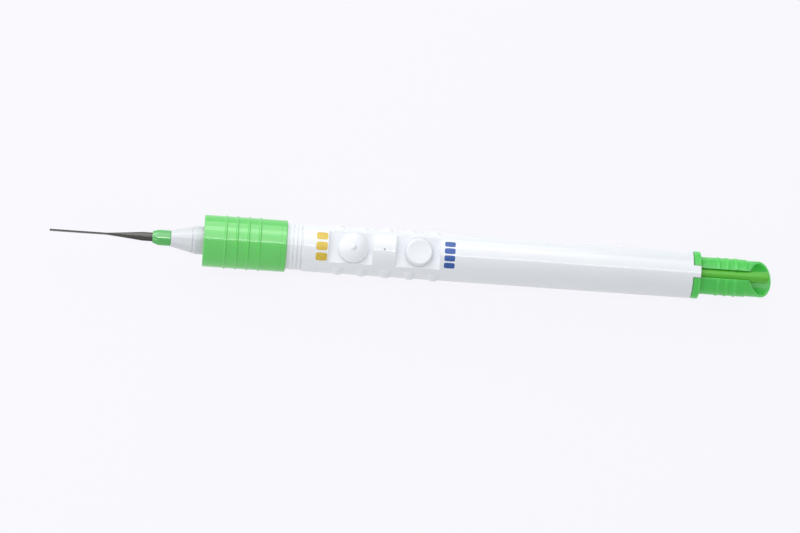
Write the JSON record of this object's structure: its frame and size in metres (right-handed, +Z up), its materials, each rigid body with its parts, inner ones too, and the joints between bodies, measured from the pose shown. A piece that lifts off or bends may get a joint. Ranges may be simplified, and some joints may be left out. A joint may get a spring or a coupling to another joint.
{
  "type": "electrosurgical pencil",
  "caption": "Pen-shaped electrosurgical handpiece with a blade electrode, smoke nozzle collar, cut and coag push buttons and a rear hose port.",
  "frame": {"origin": "centre of the object's footprint, on the surface that it lies on", "axes": "+X runs along the pencil from the blade's tip to the rear port, +Z points up out of the buttons"},
  "size_m": [0.1967, 0.0144, 0.0145],
  "materials": {
    "housing_white": "moulded satin white plastic",
    "nose_white": "moulded satin white plastic",
    "button_white": "moulded satin white plastic",
    "collar_green": "moulded satin light green plastic",
    "sleeve_green": "moulded satin green plastic",
    "port_green": "moulded glossy green plastic",
    "blade_steel": "dark coated stainless steel",
    "socket_brass": "turned",
    "ferrule_brass": "crimped",
    "dome_steel": "stamped spring steel",
    "spacer_film": "clear amber film",
    "board_laminate": "solder mask",
    "wire_insulation": "satin insulation",
    "lead_jacket": "satin yellow-green jacket"
  },
  "bodies": {
    "housing": {"upper_shell": "housing_white", "lower_shell": "housing_white", "nose_cone": "nose_white", "electrode_socket": "socket_brass", "switch_board": "board_laminate", "dome_spacer": "spacer_film", "cut_dome": "dome_steel", "coag_dome": "dome_steel", "socket_wire": "wire_insulation", "cut_wire": "wire_insulation", "coag_wire": "wire_insulation", "supply_wire": "wire_insulation", "power_lead": "lead_jacket", "lead_ferrule": "ferrule_brass", "rear_port": "port_green"},
    "electrode": {"blade_electrode": "blade_steel", "electrode_sleeve": "sleeve_green"},
    "nozzle": {"front_collar": "collar_green"},
    "cut_key": {"cut_button": "button_white"},
    "coag_key": {"coag_button": "button_white"}
  },
  "joints": [
    {"name": "cut_press", "type": "slide", "parent": "housing", "child": "cut_key", "axis": [0, 0, -1], "range_m": [0, 0.0005], "stiffness_N_per_m": 3600, "deforming": ["cut_dome"]},
    {"name": "coag_press", "type": "slide", "parent": "housing", "child": "coag_key", "axis": [0, 0, -1], "range_m": [0, 0.0005], "stiffness_N_per_m": 3600, "deforming": ["coag_dome"]},
    {"name": "electrode_pull", "type": "slide", "parent": "housing", "child": "electrode", "axis": [-1, 0, 0], "range_m": [0, 0.0371]},
    {"name": "nozzle_slide", "type": "slide", "parent": "housing", "child": "nozzle", "axis": [1, 0, 0], "range_m": [-0.0058, 0.004]}
  ]
}
